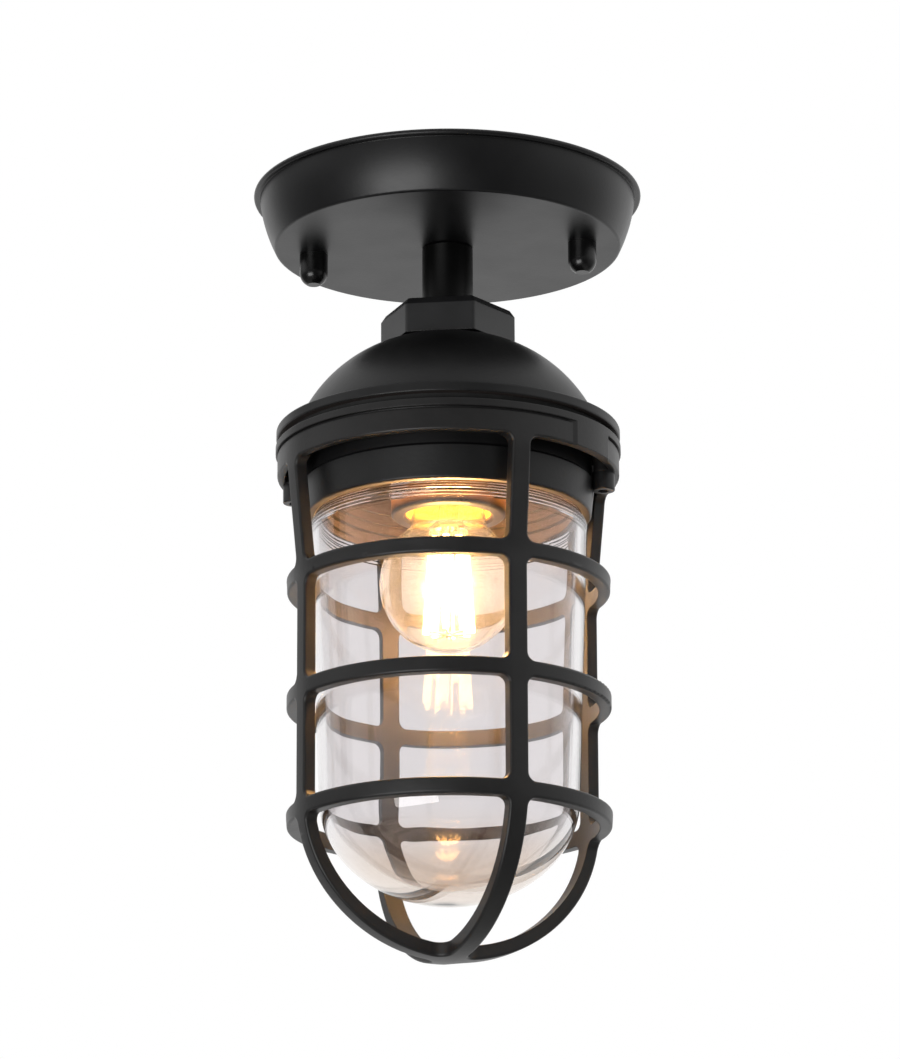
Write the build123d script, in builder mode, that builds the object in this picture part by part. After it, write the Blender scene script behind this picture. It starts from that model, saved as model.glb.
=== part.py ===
from build123d import *
import os
from math import cos, radians, sin, tan

# Outdoor ceiling light: a canopy, a short stem, a domed housing and a cast cage round a glass jar.
# Millimetres, +Z up. The origin is where the lamp's axis meets the ceiling, so all of it hangs below z = 0.
# +X runs through both canopy nuts, both cage screws and one corner of the hexagon collar.

# Clearances
thread_gap = 0.1
screw_hole_gap = 0.25
running_gap = 0.3
contact_gap = 0.2

# Canopy: a pressed pan with a rolled rim, and the gasket that lies in the rim's top
canopy_radius = 65.0
canopy_rim_height = 1.8
canopy_rim_lip = 2.0
canopy_rim_round = 0.6
canopy_depth = 18.9
canopy_flare = 7.15
canopy_wall = 1.6
canopy_wall_bulge = 0.8
canopy_edge_radius = 1.0
canopy_gasket_width = 2.0
canopy_gasket_thickness = 0.8

# Mounting bracket with slots for the ceiling box, its studs, cap nuts and ground screw
bracket_end_margin = 8.6
bracket_width = 18.0
bracket_thickness = 2.0
bracket_end_radius = 4.0
bracket_eye_radius = 6.0
box_screw_spacing = 69.85
box_slot_length = 12.0
box_slot_width = 5.0
stud_margin = 10.475
stud_radius = 2.0
cap_nut_radius = 4.75
cap_nut_length = 10.4
cap_nut_crown_angle = 62.0
cap_nut_bore_depth = 7.0
ground_screw_offset = 17.0
ground_screw_head_radius = 4.0
ground_screw_head_height = 2.4

# Stem: a tube with a thinner threaded end above and below
stem_radius = 8.5
stem_length = 22.9
stem_spigot_radius = 6.0
stem_bore_radius = 4.0
stem_edge_radius = 0.6
lock_nut_flats = 19.0
lock_nut_height = 6.0
washer_radius = 11.5
washer_thickness = 1.5
spigot_end_length = 1.4

# Hexagon collar on the dome
hex_corner_radius = 22.7
hex_height = 12.1
hex_corner_round = 1.2
hex_bevel_height = 2.3
hex_bevel_inset = 1.6
hex_overhang = 2.5

# Dome housing: domed cap, flange, and the neck that takes the glass jar
dome_height = 29.6
dome_bulge = 4.85
dome_crown_wall = 4.5
dome_cavity_inset = 5.2
dome_cavity_bulge = 2.3
dome_cavity_share = 0.405
dome_root_radius = 2.5
flange_inset = 0.2
flange_reach = 6.3
flange_thickness = 3.3
flange_edge_radius = 0.5
neck_step = 3.1
neck_wall = 3.1
neck_length = 26.2
neck_bead_height = 0.8
neck_bead_drop = 15.3
neck_bead_slope = 0.8
neck_mouth_taper = 0.4
neck_mouth_round = 0.8

# Gasket between the dome's flange and the cage's flange
flange_gasket_thickness = 2.4
flange_gasket_recess = 2.6

# Cage: flange, grooved collar, four bars, three rings and the crossing at the bottom
collar_radius = 56.6
collar_height = 10.5
collar_wall = 2.6
collar_plate_thickness = 3.4
cage_flange_overhang = 0.6
cage_flange_thickness = 2.4
cage_groove_width = 0.8
cage_groove_depth = 0.8
pad_angle = -25.8
pad_spread = 19.0
pad_ramp = 4.0
cage_depth = 4.0
cage_bend_radius = 40.0
cage_edge_radius = 0.8
ring_taper = 3.47
ring_height = 5.3
ring_count = 3
first_ring_drop = 34.5
last_ring_drop = 5.1
crown_gap = 14.2
crown_thickness = 4.6
bar_count = 4
bar_angle = 32.5
bar_width = 6.4
window_corner_radius = 3.0
crossing_radius = 5.0

# Cage screws: two cap screws with tall round heads under the collar
cage_screw_inset = 5.0
cage_screw_radius = 1.75
cage_screw_head_radius = 3.75
cage_screw_head_height = 6.1
cage_screw_head_round = 0.5
cage_screw_socket_flats = 3.5
cage_screw_socket_depth = 2.6
cage_screw_bite = 2.6
cage_boss_radius = 4.4

# Glass jar and the gasket on its rim
jar_wall = 3.0
jar_base_thickness = 5.0
jar_thread_length = 18.0
jar_shoulder_swell = 1.6
jar_shoulder_drop = 2.6
jar_taper = 3.2
jar_body_height = 92.0
jar_crown_height = 35.0
jar_rim_round = 0.8
jar_gasket_thickness = 1.8

# Lamp holder: cap on the stem's end, porcelain body, brass screw shell and centre contact
holder_cap_radius = 16.0
holder_cap_thickness = 2.0
holder_hub_radius = 9.0
holder_hub_height = 6.8
holder_top_radius = 16.5
holder_rim_radius = 19.0
holder_length = 39.7
holder_rim_height = 9.0
holder_floor_thickness = 5.4
holder_mouth_flare = 0.85
holder_mouth_depth = 1.2
holder_edge_radius = 1.2
holder_screw_offset = 12.5
holder_screw_radius = 1.6
holder_screw_head_radius = 2.8
holder_screw_head_height = 1.8
holder_screw_length = 6.4
shell_wall = 0.7
shell_mouth_setback = 1.4
contact_radius = 5.0
contact_height = 2.0
contact_rivet_radius = 1.5
contact_rivet_length = 4.4

# Bulb: small globe with a screw cap
bulb_cap_radius = 13.05
bulb_cap_height = 21.5
bulb_cap_wall = 0.5
bulb_cap_bevel = 3.0
bulb_tip_radius = 4.8
bulb_tip_height = 1.0
bulb_insulator_height = 1.6
bulb_insulator_radius = 8.0
globe_radius = 22.7
globe_wall = 0.8
globe_drop = 31.0
globe_neck_radius = 12.3
globe_neck_insert = 6.0
globe_neck_blend = 6.0
mount_press_radius = 3.2
mount_flare_height = 4.0
mount_length = 19.0
mount_button_thickness = 1.6
mount_post_radius = 1.2
mount_post_length = 35.6
filament_count = 8
filament_radius = 1.1
filament_top_circle = 5.6
filament_low_circle = 7.6
filament_length = 32.0
filament_wire_radius = 0.35
filament_wire_length = 2.4

# Levels, from the ceiling down
canopy_floor_z = -canopy_depth
hex_top_z = canopy_floor_z - stem_length
dome_top_z = hex_top_z - hex_height
flange_top_z = dome_top_z - dome_height
flange_bottom_z = flange_top_z - flange_thickness
cage_top_z = flange_bottom_z - flange_gasket_thickness
collar_bottom_z = cage_top_z - collar_height
neck_bottom_z = flange_bottom_z - neck_length
jar_rim_z = neck_bottom_z + jar_thread_length
jar_seat_z = jar_rim_z + jar_gasket_thickness
dome_cavity_z = dome_top_z - dome_crown_wall
dome_nut_low_z = dome_cavity_z - lock_nut_height
holder_cap_z = dome_nut_low_z - thread_gap - holder_hub_height
holder_top_z = holder_cap_z - holder_cap_thickness
holder_floor_z = holder_top_z - holder_floor_thickness
holder_mouth_z = holder_top_z - holder_length
contact_low_z = holder_floor_z - contact_height
bulb_tip_z = contact_low_z - contact_gap
insulator_top_z = bulb_tip_z - bulb_tip_height
bulb_cap_top_z = insulator_top_z - bulb_insulator_height
bulb_cap_low_z = bulb_cap_top_z - bulb_cap_height
globe_centre_z = bulb_cap_low_z - globe_drop
jar_shoulder_top_z = neck_bottom_z - running_gap
jar_shoulder_low_z = jar_shoulder_top_z - jar_shoulder_drop
jar_waist_z = jar_shoulder_low_z - jar_body_height
jar_low_z = jar_waist_z - jar_crown_height
first_ring_z = collar_bottom_z - first_ring_drop
last_ring_z = jar_waist_z - last_ring_drop
ring_pitch = (first_ring_z - last_ring_z) / (ring_count - 1)
ring_tops = [first_ring_z - i * ring_pitch for i in range(ring_count)]
crown_floor_z = jar_low_z - crown_gap
crown_low_z = crown_floor_z - crown_thickness

# Radii that follow from the canopy and the collar
canopy_floor_radius = canopy_radius - canopy_flare
canopy_wall_top_radius = canopy_radius - canopy_rim_lip
cage_flange_radius = collar_radius + cage_flange_overhang
flange_radius = cage_flange_radius - flange_inset
dome_base_radius = flange_radius - flange_reach
dome_land_radius = hex_corner_radius - hex_overhang
neck_radius = dome_base_radius - neck_step
neck_bead_radius = neck_radius + neck_bead_height
neck_bore_radius = neck_radius - neck_wall
jar_neck_radius = neck_bore_radius - running_gap
jar_bore_radius = jar_neck_radius - jar_wall
jar_shoulder_radius = jar_neck_radius + jar_shoulder_swell
jar_waist_radius = jar_shoulder_radius - jar_taper
collar_opening_radius = neck_bead_radius + running_gap
ring_radius = collar_radius - ring_taper

# Fits that two or more pieces share
gasket_inner_radius = canopy_wall_top_radius - canopy_wall
gasket_outer_radius = gasket_inner_radius + canopy_gasket_width
spigot_hole_radius = stem_spigot_radius + thread_gap
stud_hole_radius = stud_radius + screw_hole_gap
stud_spacing = box_screw_spacing + 2 * stud_margin
cage_screw_circle = collar_radius - cage_screw_inset
cage_screw_hole_radius = cage_screw_radius + screw_hole_gap
shell_inner_radius = bulb_cap_radius + running_gap
shell_outer_radius = shell_inner_radius + shell_wall
holder_bore_radius = shell_outer_radius + thread_gap
cap_inner_radius = bulb_cap_radius - bulb_cap_wall
globe_neck_bore = globe_neck_radius - globe_wall
studs = [(-stud_spacing / 2, 0), (stud_spacing / 2, 0)]
cage_screw_places = [(-cage_screw_circle, 0), (cage_screw_circle, 0)]
holder_screw_places = [(0, -holder_screw_offset), (0, holder_screw_offset)]

UPWARD = (Align.CENTER, Align.CENTER, Align.MIN)
DOWNWARD = (Align.CENTER, Align.CENTER, Align.MAX)

# How far the handles of a cubic curve reach along its ends to follow a quarter of an ellipse
QUARTER_PULL = 0.5523


def bowl_curve(radius, depth, top_z):
    """Corners of the cubic curve that rounds a wall of the given radius down to the axis."""
    return [
        (radius, top_z),
        (radius, top_z - QUARTER_PULL * depth),
        (QUARTER_PULL * radius, top_z - depth),
        (0, top_z - depth),
    ]


# Canopy
with BuildPart() as canopy:
    with BuildSketch(Plane.XZ):
        with BuildLine():
            rim_seat_radius = gasket_outer_radius + thread_gap
            Polyline(
                (0, canopy_floor_z + canopy_wall),
                (0, canopy_floor_z),
                (canopy_floor_radius, canopy_floor_z),
            )
            SagittaArc(
                (canopy_floor_radius, canopy_floor_z),
                (canopy_wall_top_radius, -canopy_rim_height),
                -canopy_wall_bulge,
            )
            Line(
                (canopy_wall_top_radius, -canopy_rim_height),
                (canopy_radius - canopy_rim_round, -canopy_rim_height),
            )
            ThreePointArc(
                (canopy_radius - canopy_rim_round, -canopy_rim_height),
                (canopy_radius, -canopy_rim_height / 2),
                (canopy_radius - canopy_rim_round, 0),
            )
            Polyline(
                (canopy_radius - canopy_rim_round, 0),
                (rim_seat_radius, 0),
                (rim_seat_radius, -canopy_gasket_thickness),
                (gasket_inner_radius, -canopy_gasket_thickness),
            )
            SagittaArc(
                (gasket_inner_radius, -canopy_gasket_thickness),
                (canopy_floor_radius - canopy_wall, canopy_floor_z + canopy_wall),
                canopy_wall_bulge,
            )
            Line(
                (canopy_floor_radius - canopy_wall, canopy_floor_z + canopy_wall),
                (0, canopy_floor_z + canopy_wall),
            )
        make_face()
    revolve(axis=Axis.Z)
    floor_edges = canopy.faces().sort_by(Axis.Z)[0].edges()
    fillet(floor_edges, canopy_edge_radius)
    with Locations((0, 0, canopy_floor_z)):
        Cylinder(spigot_hole_radius, canopy_wall, align=UPWARD, mode=Mode.SUBTRACT)
    with Locations(*[(x, y, canopy_floor_z) for x, y in studs]):
        Cylinder(stud_hole_radius, canopy_wall, align=UPWARD, mode=Mode.SUBTRACT)

with BuildPart() as canopy_gasket:
    Cylinder(gasket_outer_radius, canopy_gasket_thickness, align=DOWNWARD)
    Cylinder(gasket_inner_radius, canopy_gasket_thickness, align=DOWNWARD, mode=Mode.SUBTRACT)

# Bracket and what hangs on it
with BuildPart() as mounting_bracket:
    with BuildSketch(Plane.XY.offset(-bracket_thickness)):
        RectangleRounded(stud_spacing + 2 * bracket_end_margin, bracket_width, bracket_end_radius)
        Circle(bracket_eye_radius, mode=Mode.SUBTRACT)
        with Locations((-box_screw_spacing / 2, 0), (box_screw_spacing / 2, 0)):
            SlotOverall(box_slot_length, box_slot_width, mode=Mode.SUBTRACT)
        with Locations(*studs):
            Circle(stud_radius + thread_gap, mode=Mode.SUBTRACT)
        with Locations((ground_screw_offset, 0)):
            Circle(stud_radius + thread_gap, mode=Mode.SUBTRACT)
    extrude(amount=bracket_thickness)

stud_low_z = canopy_floor_z - cap_nut_bore_depth + contact_gap
with BuildPart() as bracket_studs:
    with Locations(*studs):
        Cylinder(stud_radius, -stud_low_z, align=DOWNWARD)

with BuildPart() as cap_nuts:
    for x, y in studs:
        nut_plane = Plane.XZ.offset(-y).shift_origin((x, y, 0))
        with BuildSketch(nut_plane):
            with BuildLine():
                nut_low_z = canopy_floor_z - cap_nut_length
                crown_z = nut_low_z + cap_nut_radius * sin(radians(cap_nut_crown_angle))
                CenterArc((0, crown_z), cap_nut_radius, -cap_nut_crown_angle, cap_nut_crown_angle)
                Polyline(
                    (cap_nut_radius * cos(radians(cap_nut_crown_angle)), nut_low_z),
                    (0, nut_low_z),
                    (0, canopy_floor_z),
                    (cap_nut_radius, canopy_floor_z),
                    (cap_nut_radius, crown_z),
                )
            make_face()
        revolve(axis=Axis((x, y, 0), (0, 0, 1)))
    with Locations(*[(x, y, canopy_floor_z) for x, y in studs]):
        Cylinder(stud_radius + thread_gap, cap_nut_bore_depth, align=DOWNWARD, mode=Mode.SUBTRACT)

with BuildPart() as ground_screw:
    with Locations((ground_screw_offset, 0, 0)):
        Cylinder(stud_radius, bracket_thickness, align=DOWNWARD)
    with Locations((ground_screw_offset, 0, -bracket_thickness)):
        Cylinder(ground_screw_head_radius, ground_screw_head_height, align=DOWNWARD)
    head_rim = ground_screw.faces().sort_by(Axis.Z)[0].edges()
    fillet(head_rim, ground_screw_head_height / 2)

# Stem with its washer and nuts
spigot_top_z = canopy_floor_z + canopy_wall + washer_thickness + lock_nut_height + spigot_end_length
with BuildPart() as stem:
    with Locations((0, 0, canopy_floor_z)):
        Cylinder(stem_radius, stem_length, align=DOWNWARD)
    fillet(stem.edges(), stem_edge_radius)
    with Locations((0, 0, spigot_top_z)):
        Cylinder(stem_spigot_radius, spigot_top_z - holder_cap_z, align=DOWNWARD)
        Cylinder(stem_bore_radius, spigot_top_z - holder_cap_z, align=DOWNWARD, mode=Mode.SUBTRACT)

with BuildPart() as stem_washer:
    with Locations((0, 0, canopy_floor_z + canopy_wall)):
        Cylinder(washer_radius, washer_thickness, align=UPWARD)
        Cylinder(spigot_hole_radius, washer_thickness, align=UPWARD, mode=Mode.SUBTRACT)

with BuildPart() as stem_lock_nut:
    with BuildSketch(Plane.XY.offset(canopy_floor_z + canopy_wall + washer_thickness)):
        RegularPolygon(lock_nut_flats / 2, 6, major_radius=False)
        Circle(spigot_hole_radius, mode=Mode.SUBTRACT)
    extrude(amount=lock_nut_height)

with BuildPart() as dome_lock_nut:
    with BuildSketch(Plane.XY.offset(dome_nut_low_z)):
        RegularPolygon(lock_nut_flats / 2, 6, major_radius=False)
        Circle(spigot_hole_radius, mode=Mode.SUBTRACT)
    extrude(amount=lock_nut_height)


def soft_hexagon(corner_radius):
    """A hexagon with its corners rounded as on the cast collar."""
    with BuildSketch() as outline:
        RegularPolygon(corner_radius, 6)
        fillet(outline.vertices(), hex_corner_round)
    return outline.sketch


# Hexagon collar: upright faces, then a steep bevel up to its top
with BuildPart() as hex_collar:
    hex_bevel_z = hex_top_z - hex_bevel_height
    with BuildSketch(Plane.XY.offset(dome_top_z)):
        add(soft_hexagon(hex_corner_radius))
    extrude(amount=hex_bevel_z - dome_top_z)
    with BuildSketch(Plane.XY.offset(hex_bevel_z)):
        add(soft_hexagon(hex_corner_radius))
    with BuildSketch(Plane.XY.offset(hex_top_z)):
        add(soft_hexagon(hex_corner_radius - hex_bevel_inset))
    loft()
    with Locations((0, 0, dome_top_z)):
        Cylinder(spigot_hole_radius, hex_height, align=UPWARD, mode=Mode.SUBTRACT)

# Dome housing
with BuildPart() as dome_housing:
    with BuildSketch(Plane.XZ):
        with BuildLine():
            cavity_radius = jar_bore_radius
            cavity_top_radius = dome_land_radius - dome_cavity_inset
            bead_z = flange_bottom_z - neck_bead_drop
            shoulder_z = flange_top_z + dome_cavity_share * dome_height
            Line((0, dome_top_z), (dome_land_radius, dome_top_z))
            SagittaArc(
                (dome_land_radius, dome_top_z),
                (dome_base_radius, flange_top_z),
                dome_bulge,
            )
            Polyline(
                (dome_base_radius, flange_top_z),
                (flange_radius, flange_top_z),
                (flange_radius, flange_bottom_z),
                (neck_radius, flange_bottom_z),
                (neck_radius, bead_z + neck_bead_slope),
                (neck_bead_radius, bead_z),
                (neck_radius - neck_mouth_taper, neck_bottom_z),
                (neck_bore_radius, neck_bottom_z),
                (neck_bore_radius, jar_seat_z),
                (cavity_radius, jar_seat_z),
                (cavity_radius, shoulder_z),
            )
            SagittaArc(
                (cavity_radius, shoulder_z),
                (cavity_top_radius, dome_cavity_z),
                -dome_cavity_bulge,
            )
            Polyline(
                (cavity_top_radius, dome_cavity_z),
                (0, dome_cavity_z),
                (0, dome_top_z),
            )
        make_face()
    revolve(axis=Axis.Z)
    flange_top_edges = dome_housing.edges().filter_by_position(Axis.Z, flange_top_z, flange_top_z)
    root_edge = flange_top_edges.sort_by(SortBy.LENGTH)[0]
    fillet(root_edge, dome_root_radius)
    rim_edges = dome_housing.edges().filter_by(GeomType.CIRCLE).filter_by(
        lambda edge: abs(edge.radius - flange_radius) < thread_gap
    )
    fillet(rim_edges, flange_edge_radius)
    mouth_edge = dome_housing.faces().sort_by(Axis.Z)[0].outer_wire().edges()
    fillet(mouth_edge, neck_mouth_round)
    with Locations((0, 0, dome_top_z)):
        Cylinder(spigot_hole_radius, dome_crown_wall, align=DOWNWARD, mode=Mode.SUBTRACT)
    with Locations(*[(x, y, flange_bottom_z) for x, y in cage_screw_places]):
        Cylinder(cage_screw_hole_radius, cage_screw_bite + contact_gap, align=UPWARD, mode=Mode.SUBTRACT)
    with Locations(*[(x, y, neck_bottom_z) for x, y in cage_screw_places]):
        Cylinder(
            cage_screw_head_radius + running_gap,
            collar_bottom_z + running_gap - neck_bottom_z,
            align=UPWARD,
            mode=Mode.SUBTRACT,
        )

with BuildPart() as flange_gasket:
    with BuildSketch(Plane.XY.offset(cage_top_z)):
        Circle(flange_radius - flange_gasket_recess)
        Circle(neck_radius + running_gap, mode=Mode.SUBTRACT)
        with Locations(*cage_screw_places):
            Circle(cage_screw_hole_radius, mode=Mode.SUBTRACT)
    extrude(amount=flange_gasket_thickness)

# Cage: the wall is turned in one piece, and windows are cut through it between the bars and the rings.
# A window's plan is the wedge between two bars, whose sides run parallel to the bars.
sector = 360 / bar_count
wedge_point = (bar_width / 2 / tan(radians(sector / 2)), bar_width / 2)
wedge_reach = 2 * cage_flange_radius
next_bar = (cos(radians(sector)), sin(radians(sector)))
wedge = [
    wedge_point,
    (wedge_point[0] + wedge_reach, wedge_point[1]),
    (wedge_point[0] + wedge_reach * next_bar[0], wedge_point[1] + wedge_reach * next_bar[1]),
]
wall_low_radius = collar_radius - collar_wall
plate_low_z = cage_top_z - collar_plate_thickness
crown_window_top_z = last_ring_z - ring_height
side_window_spans = [(ring_tops[0], collar_bottom_z)]
for i in range(ring_count - 1):
    side_window_spans.append((ring_tops[i + 1], ring_tops[i] - ring_height))

with BuildPart() as side_windows:
    for low_z, high_z in side_window_spans:
        with BuildSketch(Plane.XY.offset(low_z)):
            with BuildLine():
                Polyline(*wedge, close=True)
            make_face()
        extrude(amount=high_z - low_z)
    sill_edges = side_windows.edges().filter_by(Axis.X)
    sill_edges += side_windows.edges().filter_by(Axis((0, 0, 0), (*next_bar, 0)))
    fillet(sill_edges, window_corner_radius)

with BuildPart() as crown_window:
    with BuildSketch(Plane.XY.offset(crown_low_z)):
        with BuildLine():
            Polyline(*wedge, close=True)
        make_face()
    extrude(amount=crown_window_top_z - crown_low_z)
    upright_edges = crown_window.edges().filter_by(Axis.Z)
    crossing_edge = upright_edges.sort_by_distance((*wedge_point, crown_low_z))[0]
    fillet(crossing_edge, crossing_radius)
    head_edges = crown_window.edges().filter_by_position(Axis.Z, crown_window_top_z, crown_window_top_z)
    inner_head_edges = head_edges.sort_by_distance((0, 0, crown_window_top_z))[:3]
    fillet(inner_head_edges, window_corner_radius)

with BuildPart() as collar_recess:
    with BuildSketch(Plane.XY.offset(collar_bottom_z)):
        with BuildLine():
            Polyline(*wedge, close=True)
        make_face()
        Circle(wall_low_radius, mode=Mode.INTERSECT)
    extrude(amount=plate_low_z - collar_bottom_z)

upper_bend_z = collar_bottom_z - ring_height / 2
lower_bend_z = first_ring_z - ring_height / 2


def cage_form(inset):
    """The solid under the cage's outer skin, drawn in from that skin by the given depth."""
    with BuildPart() as form:
        with BuildSketch(Plane.XZ) as section:
            with BuildLine():
                pole_z = crown_low_z + inset * crown_thickness / cage_depth
                Bezier(*bowl_curve(ring_radius - inset, last_ring_z - pole_z, last_ring_z))
                Polyline(
                    (0, pole_z),
                    (0, plate_low_z),
                    (collar_radius - inset, plate_low_z),
                    (collar_radius - inset, upper_bend_z),
                    (ring_radius - inset, lower_bend_z),
                    (ring_radius - inset, last_ring_z),
                )
            make_face()
            bends = section.vertices().filter_by_position(Axis.Y, lower_bend_z, upper_bend_z)
            fillet(bends, cage_bend_radius)
        revolve(axis=Axis.Z)
    return form.part


def ramped_pad(root_radius):
    """Plan of a pad on the collar, flush with the flange, whose two ends ramp down to the root radius."""
    half_top = pad_spread / 2
    half_root = half_top + pad_ramp
    with BuildSketch() as plan:
        with BuildLine():
            top = CenterArc((0, 0), cage_flange_radius, -half_top, 2 * half_top)
            root = CenterArc((0, 0), root_radius, -half_root, 2 * half_root)
            Line(top @ 0, root @ 0)
            Line(top @ 1, root @ 1)
        make_face()
    return plan.sketch


with BuildPart() as cage:
    add(cage_form(0))
    add(cage_form(cage_depth), mode=Mode.SUBTRACT)
    with PolarLocations(0, bar_count, start_angle=bar_angle):
        add(side_windows.part, mode=Mode.SUBTRACT)
        add(crown_window.part, mode=Mode.SUBTRACT)
    under_skin = cage_form(cage_depth / 4).solid()
    skin_edges = cage.edges().filter_by(lambda edge: not under_skin.is_inside(edge @ 0.5))
    sill_arcs = skin_edges.filter_by(GeomType.CIRCLE).filter_by(
        lambda edge: 2 * bar_width < edge.length < 2 * ring_radius
    )
    fillet(sill_arcs + skin_edges.filter_by(GeomType.CIRCLE, reverse=True), cage_edge_radius)
    with BuildSketch(Plane.XZ):
        with BuildLine():
            groove_top_z = cage_top_z - cage_flange_thickness
            groove_low_z = groove_top_z - cage_groove_width
            groove_radius = collar_radius - cage_groove_depth
            Polyline(
                (collar_opening_radius, plate_low_z),
                (collar_opening_radius, cage_top_z),
                (cage_flange_radius, cage_top_z),
                (cage_flange_radius, groove_top_z),
                (groove_radius, groove_top_z),
                (groove_radius, groove_low_z),
                (collar_radius, groove_low_z),
                (collar_radius, plate_low_z),
                close=True,
            )
        make_face()
    revolve(axis=Axis.Z)
    with PolarLocations(0, bar_count, start_angle=bar_angle):
        add(collar_recess.part, mode=Mode.SUBTRACT)
    with Locations(*[(x, y, collar_bottom_z) for x, y in cage_screw_places]):
        Cylinder(cage_boss_radius, plate_low_z - collar_bottom_z, align=UPWARD)
    with Locations((0, 0, collar_bottom_z)):
        Cylinder(collar_opening_radius, collar_height, align=UPWARD, mode=Mode.SUBTRACT)
    with Locations(*[(x, y, collar_bottom_z) for x, y in cage_screw_places]):
        Cylinder(cage_screw_hole_radius, collar_height, align=UPWARD, mode=Mode.SUBTRACT)
    with BuildSketch(Plane.XY.offset(collar_bottom_z)):
        with PolarLocations(0, 2, start_angle=pad_angle):
            add(ramped_pad(groove_radius))
    extrude(amount=groove_top_z - collar_bottom_z)

with BuildPart() as cage_screws:
    shank_length = flange_bottom_z + cage_screw_bite - collar_bottom_z
    head_low_z = collar_bottom_z - cage_screw_head_height
    with Locations(*[(x, y, collar_bottom_z) for x, y in cage_screw_places]):
        Cylinder(cage_screw_radius, shank_length, align=UPWARD)
        Cylinder(cage_screw_head_radius, cage_screw_head_height, align=DOWNWARD)
    fillet(cage_screws.edges().group_by(Axis.Z)[0], cage_screw_head_round)
    with BuildSketch(Plane.XY.offset(head_low_z)):
        with Locations(*cage_screw_places):
            RegularPolygon(cage_screw_socket_flats / 2, 6, major_radius=False)
    extrude(amount=cage_screw_socket_depth, mode=Mode.SUBTRACT)

# Glass jar, screwed up into the neck, and its gasket
with BuildPart() as glass_jar:
    with BuildSketch(Plane.XZ):
        with BuildLine():
            Polyline(
                (jar_bore_radius, jar_rim_z),
                (jar_neck_radius, jar_rim_z),
                (jar_neck_radius, jar_shoulder_top_z),
                (jar_shoulder_radius, jar_shoulder_low_z),
                (jar_waist_radius, jar_waist_z),
            )
            Bezier(*bowl_curve(jar_waist_radius, jar_crown_height, jar_waist_z))
            Line((0, jar_low_z), (0, jar_low_z + jar_base_thickness))
            bowl_depth = jar_crown_height - jar_base_thickness
            Bezier(*bowl_curve(jar_waist_radius - jar_wall, bowl_depth, jar_waist_z))
            Polyline(
                (jar_waist_radius - jar_wall, jar_waist_z),
                (jar_shoulder_radius - jar_wall, jar_shoulder_low_z),
                (jar_bore_radius, jar_shoulder_top_z),
                (jar_bore_radius, jar_rim_z),
            )
        make_face()
    revolve(axis=Axis.Z)
    fillet(glass_jar.faces().sort_by(Axis.Z)[-1].edges(), jar_rim_round)

with BuildPart() as jar_gasket:
    with Locations((0, 0, jar_rim_z)):
        Cylinder(jar_neck_radius, jar_gasket_thickness, align=UPWARD)
        Cylinder(jar_bore_radius, jar_gasket_thickness, align=UPWARD, mode=Mode.SUBTRACT)

# Lamp holder
with BuildPart() as holder_cap:
    with Locations((0, 0, holder_top_z)):
        Cylinder(holder_cap_radius, holder_cap_thickness, align=UPWARD)
    with Locations((0, 0, holder_cap_z)):
        Cylinder(holder_hub_radius, holder_hub_height, align=UPWARD)
        Cylinder(spigot_hole_radius, holder_hub_height, align=UPWARD, mode=Mode.SUBTRACT)
    with Locations((0, 0, holder_top_z)):
        Cylinder(stem_bore_radius, holder_cap_thickness, align=UPWARD, mode=Mode.SUBTRACT)
    with Locations(*[(x, y, holder_top_z) for x, y in holder_screw_places]):
        Cylinder(holder_screw_radius + thread_gap, holder_cap_thickness, align=UPWARD, mode=Mode.SUBTRACT)

with BuildPart() as holder_screws:
    with Locations(*[(x, y, holder_cap_z) for x, y in holder_screw_places]):
        Cylinder(holder_screw_head_radius, holder_screw_head_height, align=UPWARD)
        Cylinder(holder_screw_radius, holder_screw_length, align=DOWNWARD)
    fillet(holder_screws.edges().group_by(Axis.Z)[-1], holder_screw_head_height / 2)

with BuildPart() as lamp_holder:
    with BuildSketch(Plane.XZ):
        with BuildLine():
            holder_rim_z = holder_mouth_z + holder_rim_height
            Polyline(
                (0, holder_top_z),
                (holder_top_radius, holder_top_z),
                (holder_top_radius, holder_rim_z + holder_rim_radius - holder_top_radius),
                (holder_rim_radius, holder_rim_z),
                (holder_rim_radius, holder_mouth_z),
                (holder_bore_radius + holder_mouth_flare, holder_mouth_z),
                (holder_bore_radius, holder_mouth_z + holder_mouth_depth),
                (holder_bore_radius, holder_floor_z),
                (0, holder_floor_z),
                close=True,
            )
        make_face()
    revolve(axis=Axis.Z)
    fillet(lamp_holder.faces().sort_by(Axis.Z)[0].outer_wire().edges(), holder_edge_radius)
    fillet(lamp_holder.faces().sort_by(Axis.Z)[-1].outer_wire().edges(), holder_edge_radius)
    with Locations((0, 0, holder_floor_z)):
        Cylinder(contact_rivet_radius + thread_gap, holder_floor_thickness, align=UPWARD, mode=Mode.SUBTRACT)
    with Locations(*[(x, y, holder_top_z) for x, y in holder_screw_places]):
        Cylinder(holder_screw_radius + thread_gap, holder_screw_length, align=DOWNWARD, mode=Mode.SUBTRACT)

with BuildPart() as screw_shell:
    with Locations((0, 0, holder_mouth_z + shell_mouth_setback)):
        shell_height = holder_length - holder_floor_thickness - shell_mouth_setback
        Cylinder(shell_outer_radius, shell_height, align=UPWARD)
        Cylinder(shell_inner_radius, shell_height, align=UPWARD, mode=Mode.SUBTRACT)

with BuildPart() as centre_contact:
    with Locations((0, 0, holder_floor_z)):
        Cylinder(contact_radius, contact_height, align=DOWNWARD)
    fillet(centre_contact.edges().group_by(Axis.Z)[0], contact_height / 2)
    with Locations((0, 0, holder_floor_z)):
        Cylinder(contact_rivet_radius, contact_rivet_length, align=UPWARD)

# Bulb
with BuildPart() as bulb_contact:
    with Locations((0, 0, bulb_tip_z)):
        Cylinder(bulb_tip_radius, bulb_tip_height, align=DOWNWARD)
    fillet(bulb_contact.edges().group_by(Axis.Z)[-1], bulb_tip_height / 2)

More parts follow.
